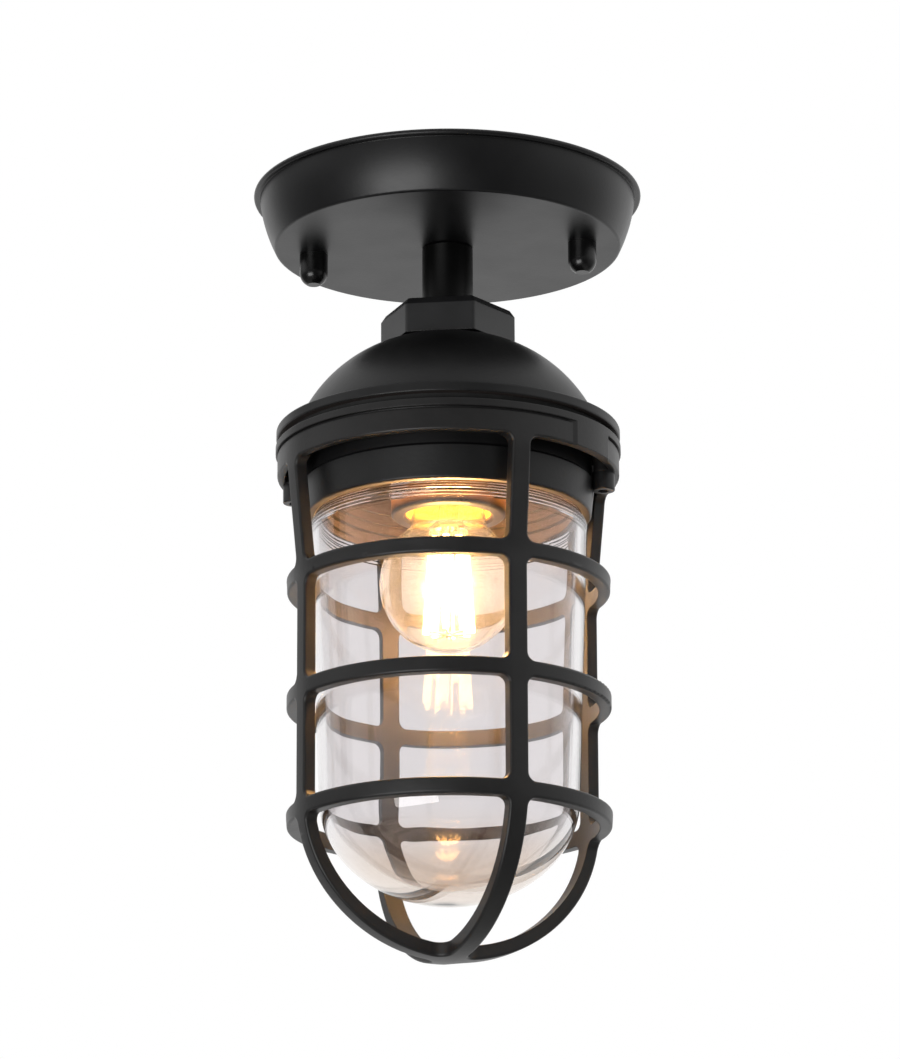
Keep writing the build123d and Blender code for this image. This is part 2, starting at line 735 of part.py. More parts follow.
with BuildPart() as bulb_insulator:
    with Locations((0, 0, insulator_top_z)):
        Cone(bulb_insulator_radius, bulb_tip_radius, bulb_insulator_height, align=DOWNWARD)

with BuildPart() as bulb_cap:
    with BuildSketch(Plane.XZ):
        with BuildLine():
            bevel_z = bulb_cap_top_z - bulb_cap_bevel
            Polyline(
                (0, bulb_cap_top_z),
                (bulb_insulator_radius, bulb_cap_top_z),
                (bulb_cap_radius, bevel_z),
                (bulb_cap_radius, bulb_cap_low_z),
                (cap_inner_radius, bulb_cap_low_z),
                (cap_inner_radius, bevel_z),
                (bulb_insulator_radius, bulb_cap_top_z - bulb_cap_wall),
                (0, bulb_cap_top_z - bulb_cap_wall),
                close=True,
            )
        make_face()
    revolve(axis=Axis.Z)

globe_neck_top_z = bulb_cap_low_z + globe_neck_insert


def blown_globe(inset):
    """The bulb's globe and neck as a solid, drawn in from the outside by the given depth."""
    with BuildPart() as form:
        with BuildSketch(Plane.XZ) as section:
            with Locations((0, globe_centre_z)):
                Circle(globe_radius - inset)
                Rectangle(
                    2 * (globe_neck_radius - inset),
                    globe_neck_top_z - globe_centre_z,
                    align=(Align.CENTER, Align.MIN),
                )
            fillet(section.vertices().group_by(Axis.Y)[-2], globe_neck_blend + inset)
            with Locations((0, globe_centre_z)):
                Rectangle(
                    2 * globe_radius,
                    4 * globe_radius,
                    align=(Align.MAX, Align.CENTER),
                    mode=Mode.SUBTRACT,
                )
        revolve(axis=Axis.Z)
    return form.part


with BuildPart() as bulb_glass:
    add(blown_globe(0))
    add(blown_globe(globe_wall), mode=Mode.SUBTRACT)

# Inside the bulb: the glass mount, the filaments round it and the wires that carry them
mount_radius = globe_neck_bore - thread_gap
mount_button_radius = filament_top_circle + filament_radius
mount_low_z = globe_neck_top_z - mount_length
post_low_z = mount_low_z - mount_post_length
with BuildPart() as bulb_mount:
    with BuildSketch(Plane.XZ):
        with BuildLine():
            Polyline(
                (0, globe_neck_top_z),
                (mount_radius, globe_neck_top_z),
                (mount_press_radius, globe_neck_top_z - mount_flare_height),
                (mount_press_radius, mount_low_z + mount_button_thickness),
                (mount_button_radius, mount_low_z + mount_button_thickness),
                (mount_button_radius, mount_low_z),
                (mount_post_radius, mount_low_z),
                (mount_post_radius, post_low_z),
                (0, post_low_z),
                close=True,
            )
        make_face()
    revolve(axis=Axis.Z)

filament_top_z = mount_low_z - filament_wire_length
filament_low_z = filament_top_z - filament_length
with BuildPart() as filaments:
    for i in range(filament_count):
        turn = radians(i * 360 / filament_count)
        top = Vector(filament_top_circle * cos(turn), filament_top_circle * sin(turn), filament_top_z)
        low = Vector(filament_low_circle * cos(turn), filament_low_circle * sin(turn), filament_low_z)
        with BuildSketch(Plane(top, z_dir=low - top)):
            Circle(filament_radius)
        extrude(amount=(low - top).length)

hook_z = filament_low_z - filament_wire_radius - contact_gap
with BuildPart() as filament_wires:
    for i in range(filament_count):
        turn = radians(i * 360 / filament_count)
        outward = Vector(cos(turn), sin(turn), 0)
        lead_foot = outward * filament_top_circle + Vector(0, 0, filament_top_z + contact_gap)
        with BuildSketch(Plane(lead_foot)):
            Circle(filament_wire_radius)
        extrude(amount=filament_wire_length - contact_gap)
        hook_root = outward * (mount_post_radius + thread_gap) + Vector(0, 0, hook_z)
        with BuildSketch(Plane(hook_root, z_dir=outward)):
            Circle(filament_wire_radius)
        extrude(amount=filament_low_circle - mount_post_radius)

os.makedirs("parts", exist_ok=True)
pieces = {
    "canopy": canopy,
    "canopy_gasket": canopy_gasket,
    "mounting_bracket": mounting_bracket,
    "bracket_studs": bracket_studs,
    "cap_nuts": cap_nuts,
    "ground_screw": ground_screw,
    "stem": stem,
    "stem_washer": stem_washer,
    "stem_lock_nut": stem_lock_nut,
    "hex_collar": hex_collar,
    "dome_housing": dome_housing,
    "dome_lock_nut": dome_lock_nut,
    "flange_gasket": flange_gasket,
    "cage": cage,
    "cage_screws": cage_screws,
    "glass_jar": glass_jar,
    "jar_gasket": jar_gasket,
    "holder_cap": holder_cap,
    "holder_screws": holder_screws,
    "lamp_holder": lamp_holder,
    "screw_shell": screw_shell,
    "centre_contact": centre_contact,
    "bulb_cap": bulb_cap,
    "bulb_insulator": bulb_insulator,
    "bulb_contact": bulb_contact,
    "bulb_glass": bulb_glass,
    "bulb_mount": bulb_mount,
    "filaments": filaments,
    "filament_wires": filament_wires,
}
for name, piece in pieces.items():
    piece.part.label = name
    export_step(piece.part, f"parts/{name}.step")
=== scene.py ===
import bmesh
import bpy
import math
from mathutils import Matrix, Vector


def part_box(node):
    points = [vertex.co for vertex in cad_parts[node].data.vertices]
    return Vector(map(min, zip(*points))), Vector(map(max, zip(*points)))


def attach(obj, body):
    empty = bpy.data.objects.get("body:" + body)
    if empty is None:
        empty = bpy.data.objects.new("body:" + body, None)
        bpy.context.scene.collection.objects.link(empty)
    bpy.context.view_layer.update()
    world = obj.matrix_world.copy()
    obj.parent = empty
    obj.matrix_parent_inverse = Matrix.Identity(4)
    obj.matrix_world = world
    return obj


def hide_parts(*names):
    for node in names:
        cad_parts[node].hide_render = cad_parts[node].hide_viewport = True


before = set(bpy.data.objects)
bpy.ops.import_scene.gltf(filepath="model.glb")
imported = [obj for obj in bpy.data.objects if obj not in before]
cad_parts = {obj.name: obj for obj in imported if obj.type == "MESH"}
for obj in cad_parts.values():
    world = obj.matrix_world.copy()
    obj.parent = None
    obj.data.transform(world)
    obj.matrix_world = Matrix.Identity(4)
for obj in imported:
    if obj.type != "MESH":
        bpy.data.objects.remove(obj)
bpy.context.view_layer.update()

# Bracket, washer, lock nuts and holder screws: stamped and turned steel, zinc plated.
# The bracket screws to the ceiling box, and the nuts clamp the hollow stem above and below.
MM = 0.001


def new_group(name, inputs, outputs):
    """An empty shader node group with the named sockets, and its input and output nodes."""
    group = bpy.data.node_groups.new(name, "ShaderNodeTree")
    for label, kind, start in inputs:
        socket = group.interface.new_socket(label, in_out="INPUT", socket_type=kind)
        socket.default_value = start
    for label, kind in outputs:
        group.interface.new_socket(label, in_out="OUTPUT", socket_type=kind)
    return group, group.nodes.new("NodeGroupInput"), group.nodes.new("NodeGroupOutput")


def add_node(tree, kind, links=(), **values):
    """A node with its properties set, and each named input joined to a socket or given a value."""
    node = tree.nodes.new(kind)
    for key, value in values.items():
        setattr(node, key, value)
    for socket, source in links:
        if hasattr(source, "is_output"):
            tree.links.new(source, node.inputs[socket])
        else:
            node.inputs[socket].default_value = source
    return node


def mix_colours(tree, share, one, other):
    """The colour that lies between two others at a share."""
    blend = add_node(tree, "ShaderNodeMix", [("Factor", share), (6, one), (7, other)], data_type="RGBA")
    return blend.outputs[2]


# The skin that every coated, plated or moulded piece shares: broad patches that shift its
# colour and gloss, and a fine grain for its height.
skin_group, skin_in, skin_out = new_group(
    "mottled_skin",
    [
        ("Main", "NodeSocketColor", (0.02, 0.02, 0.02, 1)),
        ("Second", "NodeSocketColor", (0.04, 0.04, 0.04, 1)),
        ("Gloss", "NodeSocketFloat", 0.4),
        ("Gloss Spread", "NodeSocketFloat", 0.1),
        ("Patch Size", "NodeSocketFloat", 55.0),
        ("Grain Size", "NodeSocketFloat", 900.0),
    ],
    [("Color", "NodeSocketColor"), ("Roughness", "NodeSocketFloat"), ("Height", "NodeSocketFloat")],
)
skin_place = add_node(skin_group, "ShaderNodeTexCoord")
skin_patches = add_node(
    skin_group,
    "ShaderNodeTexNoise",
    [
        ("Vector", skin_place.outputs["Object"]),
        ("Scale", skin_in.outputs["Patch Size"]),
        ("Detail", 5.0),
        ("Roughness", 0.6),
    ],
)
skin_grain = add_node(
    skin_group,
    "ShaderNodeTexNoise",
    [
        ("Vector", skin_place.outputs["Object"]),
        ("Scale", skin_in.outputs["Grain Size"]),
        ("Detail", 3.0),
        ("Roughness", 0.55),
    ],
)
skin_mask = add_node(
    skin_group,
    "ShaderNodeMapRange",
    [("Value", skin_patches.outputs["Fac"]), ("From Min", 0.38), ("From Max", 0.68)],
)
skin_tone = mix_colours(
    skin_group, skin_mask.outputs["Result"], skin_in.outputs["Main"], skin_in.outputs["Second"]
)
skin_shift = add_node(
    skin_group,
    "ShaderNodeMath",
    [(0, skin_patches.outputs["Fac"]), (1, 0.5)],
    operation="SUBTRACT",
)
skin_rough = add_node(
    skin_group,
    "ShaderNodeMath",
    [(0, skin_shift.outputs[0]), (1, skin_in.outputs["Gloss Spread"]), (2, skin_in.outputs["Gloss"])],
    operation="MULTIPLY_ADD",
)
skin_group.links.new(skin_tone, skin_out.inputs["Color"])
skin_group.links.new(skin_rough.outputs[0], skin_out.inputs["Roughness"])
skin_group.links.new(skin_grain.outputs["Fac"], skin_out.inputs["Height"])


def new_material(name):
    """A material, its node tree and its Principled shader."""
    material = bpy.data.materials.new(name)
    material.use_nodes = True
    return material, material.node_tree, material.node_tree.nodes["Principled BSDF"]


def skinned(
    name, main, second, gloss, spread, patch, grain, depth, metallic=0.0, ior=1.5, edge_round=0.0
):
    """A material with the mottled skin in the colours, gloss, patch and grain sizes given."""
    material, tree, shader = new_material(name)
    skin = add_node(
        tree,
        "ShaderNodeGroup",
        [
            ("Main", (*main, 1)),
            ("Second", (*second, 1)),
            ("Gloss", gloss),
            ("Gloss Spread", spread),
            ("Patch Size", patch),
            ("Grain Size", grain),
        ],
        node_tree=skin_group,
    )
    bump = add_node(
        tree,
        "ShaderNodeBump",
        [("Height", skin.outputs["Height"]), ("Strength", 0.35), ("Distance", depth)],
    )
    if edge_round:
        softened = add_node(tree, "ShaderNodeBevel", [("Radius", edge_round)], samples=6)
        tree.links.new(softened.outputs["Normal"], bump.inputs["Normal"])
    tree.links.new(skin.outputs["Color"], shader.inputs["Base Color"])
    tree.links.new(skin.outputs["Roughness"], shader.inputs["Roughness"])
    tree.links.new(bump.outputs["Normal"], shader.inputs["Normal"])
    shader.inputs["Metallic"].default_value = metallic
    shader.inputs["IOR"].default_value = ior
    return material


def dress(material, *names):
    """Gives the named CAD nodes their material."""
    for name in names:
        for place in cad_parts[name].material_slots:
            place.material = material


zinc = skinned(
    "zinc_plate",
    main=(0.56, 0.57, 0.58),
    second=(0.42, 0.43, 0.43),
    gloss=0.36,
    spread=0.3,
    patch=160.0,
    grain=2400.0,
    depth=0.02 * MM,
    metallic=1.0,
)
dress(zinc, "mounting_bracket", "stem_washer", "stem_lock_nut", "dome_lock_nut")
dress(zinc, "holder_cap", "holder_screws")

# Studs: plated steel rods with a rolled M4 thread, pressed into the bracket.
# They pass through the canopy's floor, where the cap nuts screw on from below.


def lathe(name, outline, thread, steps=128, places=((0, 0),)):
    """Closed turned forms from (radius, height) corners, drawn in where the thread says."""
    form = bmesh.new()
    for x, y in places:
        rings = []
        for radius, height in outline:
            ring = []
            for i in range(steps):
                angle = 2 * math.pi * i / steps
                reach = max(radius - thread(angle, height), 0) if radius else 0
                spot = (x + reach * math.cos(angle), y + reach * math.sin(angle), height)
                ring.append(form.verts.new(spot))
            rings.append(ring)
        for one, other in zip(rings, rings[1:] + rings[:1]):
            for i in range(steps):
                j = (i + 1) % steps
                form.faces.new((one[i], one[j], other[j], other[i]))
    bmesh.ops.remove_doubles(form, verts=form.verts, dist=0.001 * MM)
    bmesh.ops.delete(form, geom=[edge for edge in form.edges if not edge.link_faces], context="EDGES")
    bmesh.ops.recalc_face_normals(form, faces=form.faces)
    mesh = bpy.data.meshes.new(name)
    form.to_mesh(mesh)
    form.free()
    mesh.shade_smooth()
    mesh.set_sharp_from_angle(angle=math.radians(40))
    piece = bpy.data.objects.new(name, mesh)
    bpy.context.collection.objects.link(piece)
    return piece


def levels(top, bottom, count):
    """Evenly spaced heights from top to bottom, both ends included."""
    return [top + (bottom - top) * i / count for i in range(count + 1)]


def rolled(depth, pitch, top, bottom, fade):
    """A right-hand rolled thread: how far it draws in at an angle and height between two levels."""
    def draw(angle, height):
        ends = min(1.0, max(0.0, min(top - height, height - bottom) / fade))
        return ends * depth * (0.5 - 0.5 * math.cos(2 * math.pi * height / pitch - angle))
    return draw


stud_low, stud_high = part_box("bracket_studs")
STUD_PITCH = 0.7 * MM
STUD_THREAD = 0.35 * MM
STUD_CUTS = 280
stud_radius = stud_high.y
stud_heights = levels(stud_high.z, stud_low.z, STUD_CUTS)
studs = lathe(
    "threaded_studs",
    [(0, stud_high.z)] + [(stud_radius, z) for z in stud_heights] + [(0, stud_low.z)],
    rolled(STUD_THREAD, STUD_PITCH, stud_high.z, stud_low.z, STUD_PITCH),
    steps=32,
    places=((stud_low.x + stud_radius, 0), (stud_high.x - stud_radius, 0)),
)
studs.data.materials.append(zinc)
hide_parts("bracket_studs")
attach(studs, "fixture")

# Ground screw: a small screw turned from brass bar and left bare.
# It screws down into the bracket, where it clamps the earth wire.
ground_brass = skinned(
    "ground_brass",
    main=(0.66, 0.47, 0.16),
    second=(0.48, 0.32, 0.10),
    gloss=0.32,
    spread=0.2,
    patch=240.0,
    grain=2600.0,
    depth=0.02 * MM,
    metallic=1.0,
)
dress(ground_brass, "ground_screw")

# Canopy gasket: a ring of closed-cell foam rubber glued into the canopy's rim.
# It is dead matt, and its cut cells leave a coarse pitted face.
foam = skinned(
    "cell_foam",
    main=(0.012, 0.012, 0.012),
    second=(0.03, 0.03, 0.03),
    gloss=0.92,
    spread=0.1,
    patch=900.0,
    grain=1500.0,
    depth=0.4 * MM,
    ior=1.35,
)
dress(foam, "canopy_gasket")

# Canopy and cap nuts: a deep steel pressing and two turned nuts, black powder coated.
# The coat is satin with a fine orange peel. The nuts clamp the canopy up to the bracket.
BLACK_IOR = 1.42
COAT_ROUND = 0.45 * MM
pressed_coat = skinned(
    "pressed_coat",
    main=(0.003, 0.003, 0.0034),
    second=(0.005, 0.005, 0.0055),
    gloss=0.37,
    spread=0.12,
    patch=55.0,
    grain=1100.0,
    depth=0.06 * MM,
    ior=BLACK_IOR,
    edge_round=COAT_ROUND,
)
dress(pressed_coat, "canopy")
nut_coat = skinned(
    "nut_coat",
    main=(0.003, 0.003, 0.003),
    second=(0.006, 0.006, 0.006),
    gloss=0.26,
    spread=0.1,
    patch=200.0,
    grain=1500.0,
    depth=0.04 * MM,
    ior=BLACK_IOR,
)
dress(nut_coat, "cap_nuts")

# Stem and hexagon collar: a steel tube with threaded ends, and a cast collar round it that
# carries the dome. Both have a black powder coat as the canopy has, thin on the tube.
stem_coat = skinned(
    "stem_coat",
    main=(0.001, 0.001, 0.001),
    second=(0.002, 0.002, 0.002),
    gloss=0.34,
    spread=0.1,
    patch=90.0,
    grain=1200.0,
    depth=0.05 * MM,
    ior=1.34,
)
dress(stem_coat, "stem")
collar_coat = skinned(
    "collar_coat",
    main=(0.009, 0.009, 0.0095),
    second=(0.014, 0.014, 0.015),
    gloss=0.42,
    spread=0.12,
    patch=70.0,
    grain=1000.0,
    depth=0.07 * MM,
    ior=1.52,
    edge_round=COAT_ROUND,
)
dress(collar_coat, "hex_collar")

# Dome housing: cast aluminium, shot blasted and powder coated from outside.
# Its cast skin leaves a coarser grain under the coat than on the pressings. Inside, the
# coat is painted a lighter warm grey, a painted light that stands in for the lamp's light there.


def shade_in(material, mask, colour):
    """Blends another colour into a material's own where the mask is full."""
    tree = material.node_tree
    base = tree.nodes["Principled BSDF"].inputs["Base Color"]
    own = base.links[0].from_socket if base.links else tuple(base.default_value)
    tree.links.new(mix_colours(tree, mask, own, (*colour, 1)), base)


dome_coat = skinned(
    "dome_coat",
    main=(0.004, 0.004, 0.0043),
    second=(0.008, 0.008, 0.0083),
    gloss=0.40,
    spread=0.12,
    patch=45.0,
    grain=900.0,
    depth=0.08 * MM,
    ior=BLACK_IOR,
    edge_round=COAT_ROUND,
)
# Painted light: the lighter warm grey on the inside faces stands in for the lamp's light on them.
DOME_INSIDE_PAINTED_LIGHT = (0.033, 0.0265, 0.024)
PAINTED_LIGHT_START = -1 * MM
PAINTED_LIGHT_FULL = -6 * MM
dome_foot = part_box("dome_housing")[0].z
dome_spot = add_node(dome_coat.node_tree, "ShaderNodeTexCoord")
dome_reach = add_node(
    dome_coat.node_tree,
    "ShaderNodeVectorMath",
    [(0, dome_spot.outputs["Object"]), (1, (0, 0, dome_foot))],
    operation="SUBTRACT",
)
dome_facing = add_node(
    dome_coat.node_tree,
    "ShaderNodeVectorMath",
    [(0, dome_spot.outputs["Normal"]), (1, dome_reach.outputs["Vector"])],
    operation="DOT_PRODUCT",
)
dome_inside_painted_light = add_node(
    dome_coat.node_tree,
    "ShaderNodeMapRange",
    [("Value", dome_facing.outputs["Value"]), ("From Min", PAINTED_LIGHT_START), ("From Max", PAINTED_LIGHT_FULL)],
)
shade_in(dome_coat, dome_inside_painted_light.outputs["Result"], DOME_INSIDE_PAINTED_LIGHT)
dress(dome_coat, "dome_housing")

# Flange gasket and jar gasket: rings of moulded black rubber, with a dry bloom in patches.
# One lies between the dome's and the cage's flanges, and the other on the jar's rim.
rubber = skinned(
    "seal_rubber",
    main=(0.006, 0.006, 0.006),
    second=(0.016, 0.016, 0.016),
    gloss=0.8,
    spread=0.2,
    patch=120.0,
    grain=1800.0,
    depth=0.06 * MM,
)
dress(rubber, "flange_gasket", "jar_gasket")

# Lamp holder: a moulded phenolic body on the stem's end, half gloss. Its brown is painted
# light, far lighter than the phenolic, standing in for the lamp's light bounced onto its
# sides. Round its mouth, where the lamp lights it directly, it keeps its own glossy near black.
HOLDER_OWN_DARK = (0.0045, 0.0032, 0.0022)
OWN_DARK_RISE = 3.0 * MM
OWN_DARK_FULL = 0.3 * OWN_DARK_RISE


def height_mask(material, start, full):
    """A mask over a material that grows from nothing at one height to full at another."""
    tree = material.node_tree
    spot = add_node(tree, "ShaderNodeTexCoord")
    axes = add_node(tree, "ShaderNodeSeparateXYZ", [("Vector", spot.outputs["Object"])])
    mask = add_node(
        tree,
        "ShaderNodeMapRange",
        [("Value", axes.outputs["Z"]), ("From Min", start), ("From Max", full)],
    )
    return mask.outputs["Result"]


# Painted light: these browns are far lighter than the phenolic, standing in for bounced lamp light.
phenolic_with_painted_light = skinned(
    "holder_phenolic_painted_light",
    main=(0.40, 0.18, 0.065),
    second=(0.29, 0.125, 0.042),
    gloss=0.34,
    spread=0.15,
    patch=130.0,
    grain=1400.0,
    depth=0.04 * MM,
    edge_round=COAT_ROUND,
)
# Round the mouth, where the lamp lights it directly, the painted light gives way to the holder's own near
# black.
holder_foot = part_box("lamp_holder")[0].z
holder_own_dark_mask = height_mask(phenolic_with_painted_light, holder_foot + OWN_DARK_RISE, holder_foot + OWN_DARK_FULL)
shade_in(phenolic_with_painted_light, holder_own_dark_mask, HOLDER_OWN_DARK)
dress(phenolic_with_painted_light, "lamp_holder")

# Screw shell and centre contact: drawn brass with a rolled thread, riveted into the holder.
# The shell's wall waves in and out with the thread, so it shows on both faces.
brass = skinned(
    "shell_brass",
    main=(0.87, 0.62, 0.18),
    second=(0.76, 0.52, 0.13),
    gloss=0.45,
    spread=0.2,
    patch=210.0,
    grain=2400.0,
    depth=0.02 * MM,
    metallic=1.0,
)
dress(brass, "centre_contact")
LAMP_PITCH = 3.63 * MM
shell_low, shell_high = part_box("screw_shell")
SHELL_WALL = 0.4 * MM
SHELL_THREAD = 0.28 * MM
SHELL_CUTS = 64
shell_heights = levels(shell_high.z, shell_low.z, SHELL_CUTS)
shell_outside = [(shell_high.x, z) for z in shell_heights]
shell_inside = [(shell_high.x - SHELL_WALL, z) for z in reversed(shell_heights)]
screw_shell = lathe(
    "threaded_shell",
    shell_outside + shell_inside,
    rolled(SHELL_THREAD, LAMP_PITCH, shell_high.z, shell_low.z, LAMP_PITCH),
)
screw_shell.data.materials.append(brass)
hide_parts("screw_shell")
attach(screw_shell, "fixture")

# Lamp cap: drawn nickel-plated brass with a rolled thread, crimped on the globe's neck.
# A black glass insulator and a soldered contact button close its top.
nickel = skinned(
    "cap_nickel",
    main=(0.72, 0.66, 0.52),
    second=(0.60, 0.54, 0.40),
    gloss=0.3,
    spread=0.2,
    patch=260.0,
    grain=2500.0,
    depth=0.02 * MM,
    metallic=1.0,
)
cap_low, cap_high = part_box("bulb_cap")
CAP_WALL = 0.3 * MM
CAP_THREAD = 0.8 * MM
CAP_BEVEL = 3.0 * MM
CAP_SHOULDER = 8.0 * MM
CAP_CUTS = 60
cap_heights = levels(cap_high.z - CAP_BEVEL, cap_low.z, CAP_CUTS)
cap_outside = [(0, cap_high.z), (CAP_SHOULDER, cap_high.z)]
cap_outside += [(cap_high.x, z) for z in cap_heights]
cap_inside = [(cap_high.x - CAP_WALL, z) for z in reversed(cap_heights)]
cap_roof = [(CAP_SHOULDER, cap_high.z - CAP_WALL), (0, cap_high.z - CAP_WALL)]
lamp_cap = lathe(
    "threaded_cap",
    cap_outside + cap_inside + cap_roof,
    rolled(CAP_THREAD, LAMP_PITCH, cap_heights[0], cap_low.z + LAMP_PITCH, LAMP_PITCH),
)
lamp_cap.data.materials.append(nickel)
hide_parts("bulb_cap")
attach(lamp_cap, "bulb")
black_glass = skinned(
    "black_glass",
    main=(0.006, 0.006, 0.008),
    second=(0.012, 0.012, 0.014),
    gloss=0.12,
    spread=0.1,
    patch=300.0,
    grain=1600.0,
    depth=0.02 * MM,
)
dress(black_glass, "bulb_insulator")
solder = skinned(
    "solder",
    main=(0.5, 0.5, 0.5),
    second=(0.36, 0.36, 0.37),
    gloss=0.4,
    spread=0.3,
    patch=500.0,
    grain=1500.0,
    depth=0.1 * MM,
    metallic=1.0,
)
dress(solder, "bulb_contact")

# Globe: small blown clear bulb with the press and post that carry its filaments. The wires
# are nickel, and the upright filaments glow yellow-white, more from their sides than their
# ends. A film of fine specks on the glass spreads their light.
SPECK_SIZE = 7000.0
SPECK_START = 0.66
SPECK_FULL = 0.7
DRAWN_OUT = (1.0, 1.0, 0.35)


def clear_glass(name, tint, ior, ripple, depth, film=0.0):
    """Clear glass with its soft ripple and any film of fine specks, which lets lamp light through."""
    material, tree, shader = new_material(name)
    shader.inputs["Base Color"].default_value = (*tint, 1)
    shader.inputs["Roughness"].default_value = 0.0
    shader.inputs["IOR"].default_value = ior
    shader.inputs["Transmission Weight"].default_value = 1.0
    place = add_node(tree, "ShaderNodeTexCoord")
    stretch = add_node(tree, "ShaderNodeMapping", [("Vector", place.outputs["Object"]), ("Scale", DRAWN_OUT)])
    waves = add_node(
        tree,
        "ShaderNodeTexNoise",
        [("Vector", stretch.outputs["Vector"]), ("Scale", ripple), ("Detail", 1.0)],
    )
    bump = add_node(
        tree,
        "ShaderNodeBump",
        [("Height", waves.outputs["Fac"]), ("Strength", 1.0), ("Distance", depth)],
    )
    tree.links.new(bump.outputs["Normal"], shader.inputs["Normal"])
    if film:
        specks = add_node(
            tree,
            "ShaderNodeTexNoise",
            [("Vector", place.outputs["Object"]), ("Scale", SPECK_SIZE), ("Detail", 0.0)],
        )
        spread = add_node(
            tree,
            "ShaderNodeMapRange",
            [
                ("Value", specks.outputs["Fac"]),
                ("From Min", SPECK_START),
                ("From Max", SPECK_FULL),
                ("To Min", 0.0),
                ("To Max", film),
            ],
        )
        tree.links.new(spread.outputs["Result"], shader.inputs["Roughness"])
    path = add_node(tree, "ShaderNodeLightPath")
    through = add_node(tree, "ShaderNodeBsdfTransparent", [("Color", (*tint, 1))])
    both = add_node(
        tree,
        "ShaderNodeMixShader",
        [(0, path.outputs["Is Shadow Ray"]), (1, shader.outputs["BSDF"]), (2, through.outputs["BSDF"])],
    )
    tree.links.new(both.outputs[0], tree.nodes["Material Output"].inputs["Surface"])
    return material


blown_glass = clear_glass(
    "blown_glass",
    tint=(0.985, 0.97, 0.93),
    ior=1.45,
    ripple=60.0,
    depth=0.1 * MM,
    film=0.4,
)
dress(blown_glass, "bulb_glass")
mount_glass = clear_glass("mount_glass", tint=(0.97, 0.97, 0.95), ior=1.5, ripple=300.0, depth=0.1 * MM)
dress(mount_glass, "bulb_mount")
dress(nickel, "filament_wires")
GLOW_DEEP = (1.0, 0.56, 0.17, 1)
GLOW_PALE = (1.0, 0.76, 0.38, 1)
GLOW_STRENGTH = 200.0
glow, glow_tree, glow_shader = new_material("filament_glow")
glow_shader.inputs["Base Color"].default_value = (1.0, 0.75, 0.35, 1)
glow_heat = add_node(
    glow_tree,
    "ShaderNodeTexNoise",
    [
        ("Vector", add_node(glow_tree, "ShaderNodeTexCoord").outputs["Object"]),
        ("Scale", 700.0),
        ("Detail", 2.0),
    ],
)
glow_tone = mix_colours(glow_tree, glow_heat.outputs["Fac"], GLOW_DEEP, GLOW_PALE)
glow_tree.links.new(glow_tone, glow_shader.inputs["Emission Color"])
glow_shader.inputs["Emission Strength"].default_value = GLOW_STRENGTH
dress(glow, "filaments")

globe_low, globe_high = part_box("bulb_glass")
LAMP_POWER = 2.1
LAMP_COLOUR = (1.0, 0.52, 0.17)
LAMP_SIZE = 8 * MM
END_SHARE = 0.15
END_FULL = -0.97
END_START = -0.6
lamp = bpy.data.lights.new("filament_light", "POINT")
lamp.energy = LAMP_POWER
lamp.color = LAMP_COLOUR
lamp.shadow_soft_size = LAMP_SIZE
lamp.use_nodes = True
lamp_tree = lamp.node_tree
lamp_way = add_node(lamp_tree, "ShaderNodeTexCoord")
lamp_axes = add_node(lamp_tree, "ShaderNodeSeparateXYZ", [("Vector", lamp_way.outputs["Normal"])])
lamp_share = add_node(
    lamp_tree,
    "ShaderNodeMapRange",
    [
        ("Value", lamp_axes.outputs["Z"]),
        ("From Min", END_FULL),
        ("From Max", END_START),
        ("To Min", END_SHARE),
        ("To Max", 1.0),
    ],
)
lamp_tree.links.new(lamp_share.outputs["Result"], lamp_tree.nodes["Emission"].inputs["Strength"])
lamp_place = bpy.data.objects.new("filament_light", lamp)
lamp_place.location = (0, 0, globe_low.z + globe_high.x)
bpy.context.collection.objects.link(lamp_place)
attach(lamp_place, "bulb")

# Glass jar: pressed clear glass with a coarse thread that screws up into the dome's neck.
# Fine beads run round it under the neck, and its wall closes in a deep rounded end of
# thicker glass, tinted warmer and darker towards the bottom.
JAR_WALL = 3.0 * MM
JAR_BASE = 5.0 * MM
JAR_NECK = 44.2 * MM
JAR_SHOULDER_TOP = -113.3 * MM
JAR_SHOULDER = -115.9 * MM
JAR_WAIST = -207.9 * MM
JAR_WAIST_RADIUS = 42.6 * MM
JAR_THREAD = 0.7 * MM
JAR_PITCH = 3.5 * MM
JAR_RIM_ROUND = 0.8 * MM
THREAD_LEAD = 2 * MM
NECK_CUTS = 48
WALL_CUTS = 16
BOWL_CUTS = 32
BOWL_OUTSIDE = 2.0
BOWL_INSIDE = 1.9
BEAD_COUNT = 5
BEAD_PITCH = 1.12 * MM
BEAD_DEPTH = 0.22 * MM
BEAD_CUTS = 12
jar_low, jar_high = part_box("glass_jar")


def jar_radius(height):
    """The outside radius of the jar between its rim and its waist."""
    if height > JAR_SHOULDER_TOP:
        return JAR_NECK
    if height > JAR_SHOULDER:
        down = (JAR_SHOULDER_TOP - height) / (JAR_SHOULDER_TOP - JAR_SHOULDER)
        return JAR_NECK + (jar_high.x - JAR_NECK) * down
    down = (JAR_SHOULDER - height) / (JAR_SHOULDER - JAR_WAIST)
    return jar_high.x + (JAR_WAIST_RADIUS - jar_high.x) * down


def bowl(radius, depth, fullness):
    """Corners from the waist to the axis: fullness 2 is an ellipse, and less is more pointed."""
    turns = [math.pi / 2 * i / BOWL_CUTS for i in range(1, BOWL_CUTS + 1)]
    bend = 2 / fullness
    return [
        (radius * max(math.cos(t), 0) ** bend, JAR_WAIST - depth * math.sin(t) ** bend) for t in turns
    ]


def bead_draw(height):
    """How far the groove between two beads draws in."""
    down = (JAR_SHOULDER_TOP - height) / BEAD_PITCH
    return BEAD_DEPTH * (0.5 + 0.5 * math.cos(2 * math.pi * down)) if 0 <= down <= BEAD_COUNT else 0.0


